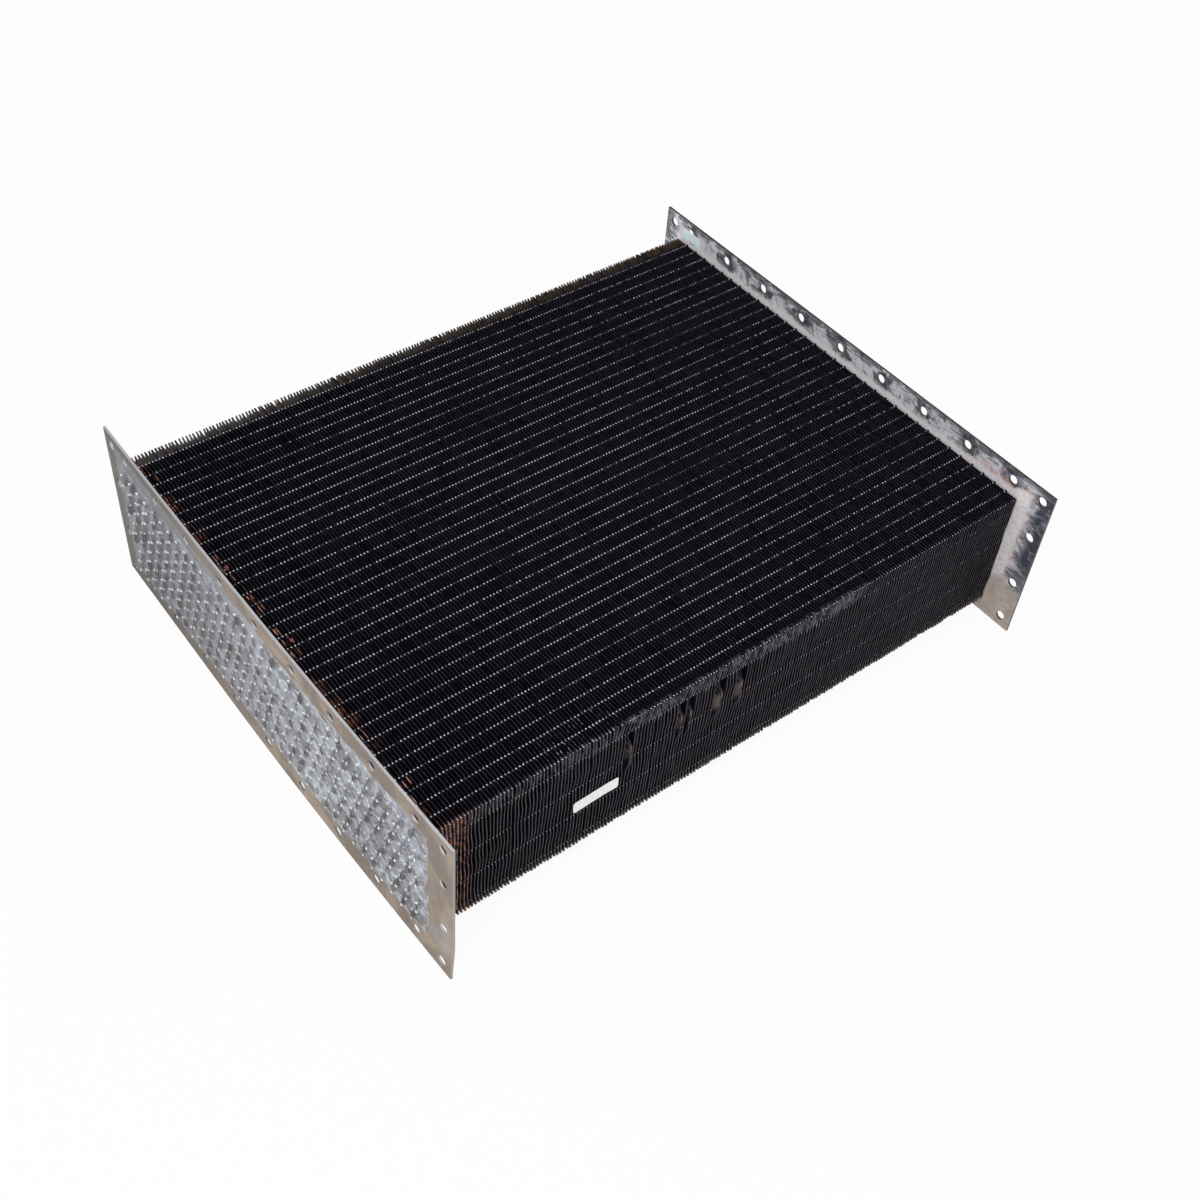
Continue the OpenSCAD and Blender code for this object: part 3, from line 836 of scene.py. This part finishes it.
def makeTubes(look):
    draw = np.random.default_rng(23)
    outer = tubeOutline(tubeWide, tubeTall)
    inner = tubeOutline(tubeWide - 2 * look["wall"], tubeTall - 2 * look["wall"])
    count = len(outer)
    straight = (tubeTall - tubeWide) / 2
    normals = outer - np.column_stack([np.zeros(count), np.clip(outer[:, 1], -straight, straight)])
    normals /= np.linalg.norm(normals, axis=1)[:, None]
    nose = np.abs(normals[:, 1]) ** 2
    sides = 1 - (outer[:, 1] / (tubeTall / 2)) ** 2
    for row, name in enumerate(rowNames):
        points, faces, kinds = [], [], []
        for y in tubeYs[row]:
            rings = []
            middle = np.array([0, y, rowZs[row]])
            for end in (-1, 1):
                sunk = bow(middle[None], bowLook)[0] if end < 0 else 0
                squeeze = 1 - sunk / (tubeTip - outerX)
                tip = tubeTip - max(draw.normal(*look["short"]), 0) * mm
                lens = draw.normal(*look["lens"]) * mm
                low, high = look["beadAndGlint"]
                beads = low + (high - low) * draw.random(2)
                beadAndGlint = np.where(outer[:, 1] > 0, beads[0], beads[1])
                outside = []
                outwards, along = look["uneven"]
                saddle = look["saddle"] * mm * squeeze * sides
                for depth, grow, blob in look["rings"]:
                    spread = max(0, 1 - depth / look["lensDeep"])
                    swell = (grow + blob * nose * beadAndGlint) * mm + spread * lens * sides
                    if grow or blob:
                        swell = swell + draw.normal(0, outwards * mm, count)
                    flat = outer + normals * np.maximum(swell, -0.1 * mm)[:, None]
                    depths = depth * squeeze * mm + draw.normal(0, along * mm, count) * (depth < 2)
                    depths += saddle * max(0, 1 - depth / look["saddleDeep"][0])
                    outside.append(np.column_stack([end * (tip - np.maximum(depths, 0)), flat]))
                inside = []
                for depth in look["innerRings"]:
                    spread = max(0, 1 - depth / look["lensDeep"])
                    flat = inner + normals * (spread * lens * sides)[:, None]
                    depths = depth * mm + saddle * max(0, 1 - depth / look["saddleDeep"][1])
                    inside.append(np.column_stack([end * (tip - depths), flat]))
                rings.append((outside, inside))
            (leftOut, leftIn), (rightOut, rightIn) = rings
            loop = leftOut + list(reversed(rightOut)) + rightIn + list(reversed(leftIn))
            start = len(points) * count
            points += [ring + middle for ring in loop]
            for r in range(len(loop)):
                a, b = start + r * count, start + (r + 1) % len(loop) * count
                for i in range(count):
                    j = (i + 1) % count
                    faces.append((a + i, a + j, b + j, b + i))
                    kinds.append(int(r == len(look["rings"]) - 1))  # painted between the header plates
        points = np.concatenate(points)
        piece = addPiece("tubes_%d" % (row + 1), points, faces, [tinFinish, tubeFinish], kinds, 1.1)
        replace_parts(piece, name)


makeTubes(tubeLook)
print("tubes made")

# The tin on the outer faces, drawn up round the tubes
coatLook = {
    # In mm: its thickness, slow and quick ripples, the ridge along its border, and the tin round the tubes
    "thick": 0.45, "swell": 0.25, "rippled": 0.08, "ridge": 0.5, "drawnUp": 0.5, "drawnWide": 0.9,
    "slow": (22 * mm, 80 * mm), "quick": (6 * mm, 16 * mm),  # the shortest and longest of those ripples
    "border": (1.5 * mm, 4 * mm),     # lines along the border
    "beside": (1.12 * mm, 2.4 * mm),  # lines beside each tube: the inner ones bound its hole
    "overlap": 0.7 * mm,              # how far the tin reaches over a tube's ends
    "above": 1.4 * mm,                # the line above and below each hole
}


def makeCoat(name, node, side, seed, look):
    draw = np.random.default_rng(seed)
    columns = sorted({round(y, 6) for ys in tubeYs for y in ys})
    step = (columns[1] - columns[0]) / 2
    (first, second), (inner, outer) = look["border"], look["beside"]
    lines = [coatLow.y, coatLow.y + first, coatLow.y + second]
    for y in columns:
        lines += [y - outer, y - inner, y + inner, y + outer, y + step]
    lines += [coatHigh.y - second, coatHigh.y - first, coatHigh.y]
    levels = [coatLow.z, coatLow.z + 2 * mm, coatHigh.z - 2 * mm, coatHigh.z]
    mouth = tubeTall / 2 - look["overlap"]
    for z in rowZs:
        levels += [z + side * mouth for side in (-1, -0.5, 0, 0.5, 1)]
        levels += [z - mouth - look["above"], z + mouth + look["above"]]
    for upper, lower in zip(rowZs, rowZs[1:]):
        levels.append((upper + lower) / 2)
    lines = np.array(sorted(line for line in lines if coatLow.y <= line <= coatHigh.y))
    levels = np.array(sorted(levels))
    present = np.ones((len(lines) - 1, len(levels) - 1), bool)
    midY, midZ = (lines[:-1] + lines[1:]) / 2, (levels[:-1] + levels[1:]) / 2
    gridY, gridZ = (axis.ravel() for axis in np.meshgrid(lines, levels, indexing="ij"))
    spots = np.column_stack([np.zeros(gridY.size), gridY, gridZ])
    long, short = makeRipple(draw, *look["slow"]), makeRipple(draw, *look["quick"])
    height = look["thick"] + look["swell"] * long(spots) + look["rippled"] * short(spots)
    nearest = np.full(gridY.size, 1.0)
    straight = (tubeTall - tubeWide) / 2
    for ys, z in zip(tubeYs, rowZs):
        for y in ys:
            present[np.ix_(abs(midY - y) < 1 * mm, abs(midZ - z) < mouth)] = False
            close = (abs(gridY - y) < 8 * mm) & (abs(gridZ - z) < 18 * mm)
            beyond = np.maximum(abs(gridZ[close] - z) - straight, 0)
            gap = np.hypot(gridY[close] - y, beyond) - tubeWide / 2
            nearest[close] = np.minimum(nearest[close], np.maximum(gap, 0))
    uneven = 0.8 + 0.4 * draw.random(gridY.size)
    height += look["drawnUp"] * np.exp(-nearest / (look["drawnWide"] * mm)) * uneven
    border = np.minimum(np.minimum(gridY - coatLow.y, coatHigh.y - gridY),
                        np.minimum(gridZ - coatLow.z, coatHigh.z - gridZ))
    ridge = np.exp(-((border - 2.5 * mm) / (1.5 * mm)) ** 2)
    height += look["ridge"] * ridge * (0.6 + 0.4 * long(spots * 1.7))
    height = np.clip(height, 0.12, 3.5) * ramp(border, -1 * mm, 1.5 * mm)
    height = np.maximum(height, 0.06) * mm
    front = np.column_stack([np.full(gridY.size, outerX) + height, gridY, gridZ])
    back = np.column_stack([np.full(gridY.size, outerX), gridY, gridZ])
    faces = sheetFaces(present)
    points = np.concatenate([back, front])  # the sheet's first points face -X
    points[:, 0] *= side
    if side < 0:
        points[:, 0] = np.maximum(points[:, 0] - bow(points, bowLook), 0.1 * mm - tubeTip)
        faces = [tuple(reversed(face)) for face in faces]
    points, faces = dropUnused(points, faces)
    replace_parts(addPiece(name, points, faces, [coatFinish], sharp=1.2), node)


makeCoat("solder_left", "left_solder_coat", -1, 31, coatLook)
makeCoat("solder_right", "right_solder_coat", 1, 37, coatLook)
print("solder made")

# The two blank labels
labelLook = {
    "side": {"long": 61 * mm, "tall": 18 * mm, "tilt": 2.5, "curl": 0.5 * mm, "corner": 3 * mm,
             "thick": 0.12 * mm, "cells": (24, 8)},
    "plate": {"long": 37 * mm, "tall": 15 * mm, "tilt": 0, "curl": 0.15 * mm, "corner": 1.2 * mm,
              "thick": 0.12 * mm, "cells": (24, 8)},
}


def makeLabel(name, node, look, along, outward, material):
    low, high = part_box(node)
    middle = np.array((low + high) / 2)
    along, outward = np.array(along, float), np.array(outward, float)
    tilt = math.radians(look["tilt"])
    up = np.array((0, 0, 1.0))
    turned = along * math.cos(tilt) + up * math.sin(tilt)
    raised = up * math.cos(tilt) - along * math.sin(tilt)
    across, rows = look["cells"]
    u = np.linspace(-0.5, 0.5, across + 1)
    v = np.sin(np.linspace(-0.5, 0.5, rows + 1) * math.pi) / 2
    gridU, gridV = (axis.ravel() for axis in np.meshgrid(u, v, indexing="ij"))
    radius = look["corner"]
    inCorner = np.clip((np.abs(gridV) * look["tall"] - look["tall"] / 2 + radius) / radius, 0, 1)
    rounding = 1 - 2 * radius / look["long"] * (1 - np.sqrt(1 - inCorner ** 2))
    lift = ramp(gridU, 0.2, 0.5) ** 2 + 0.5 * ramp(-gridU - gridV, 0.5, 1) + 0.12 * np.sin(gridU * 19)
    lift *= look["curl"]
    flat = np.outer(gridU * look["long"] * rounding, turned) + np.outer(gridV * look["tall"], raised)
    top = middle + flat + np.outer(lift + look["thick"], outward)
    under = middle + flat + np.outer(lift, outward)
    faces = sheetFaces(np.ones((across, rows), bool))
    if np.dot(np.cross(turned, raised), outward) > 0:
        points = np.concatenate([under, top])
    else:
        points = np.concatenate([top, under])
    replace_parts(addPiece(name, points, faces, [material]), node)


makeLabel("blank_side_label", "side_label", labelLook["side"], (1, 0, 0), (0, -1, 0), paperFinish)
makeLabel("blank_plate_label", "plate_label", labelLook["plate"], (0, 1, 0), (-1, 0, 0), filmFinish)
print("labels made")

# A plain white floor, a soft sky and one broad lamp overhead
stageLook = {
    "floorHalf": 30, "floorColour": 0.78, "ownLight": 0.94,
    "sky": [(0.14, 1.0), (0.42, 0.35), (0.95, 0.62)],  # its brightness, from the horizon to straight up
    "lampSide": 2.2, "lampPlace": (-0.9, -0.7, 2.4), "lampPower": 46,
}


def makeStage(look):
    half = look["floorHalf"]
    mesh = bpy.data.meshes.new("floor")
    corners = [(-half, -half, 0), (half, -half, 0), (half, half, 0), (-half, half, 0)]
    mesh.from_pydata(corners, [], [(0, 1, 2, 3)])
    floor = bpy.data.objects.new("floor", mesh)
    floor.location.z = -0.2 * mm  # just clear of the plates' lower edges
    bpy.context.scene.collection.objects.link(floor)
    r = newRecipe("floorPaper")
    grey = look["floorColour"]
    lit = r.node("BsdfDiffuse", {}, {"Color": (grey, grey, grey, 1)})
    glow = r.node("Emission", {}, {"Color": (1, 1, 1, 1), "Strength": 1})
    seen = r.node("LightPath", output="Is Camera Ray") + r.node("LightPath", output="Is Transmission Ray")
    both = r.node("MixShader", {}, {0: seen * look["ownLight"], 1: lit, 2: glow})
    r.node("OutputMaterial", {}, {"Surface": both})
    mesh.materials.append(r.owner)

    bpy.context.scene.world = bpy.data.worlds.new("sky")
    sky = Recipe(bpy.context.scene.world, "Generated")
    tone = sky.node("ValToRGB", {"stops": look["sky"]}, {0: sky.z})
    sky.node("OutputWorld", {}, {"Surface": sky.node("Background", {}, {"Color": tone})})

    lamp = bpy.data.objects.new("lamp", bpy.data.lights.new("lamp", "AREA"))
    lamp.data.size = look["lampSide"]
    lamp.data.energy = look["lampPower"]
    lamp.location = look["lampPlace"]
    lamp.rotation_mode = "QUATERNION"
    lamp.rotation_quaternion = (Vector((0, 0, 0.1)) - lamp.location).to_track_quat("-Z", "Y")
    bpy.context.scene.collection.objects.link(lamp)


makeStage(stageLook)
bpy.context.scene.view_settings.view_transform = "Standard"
print("stage made")
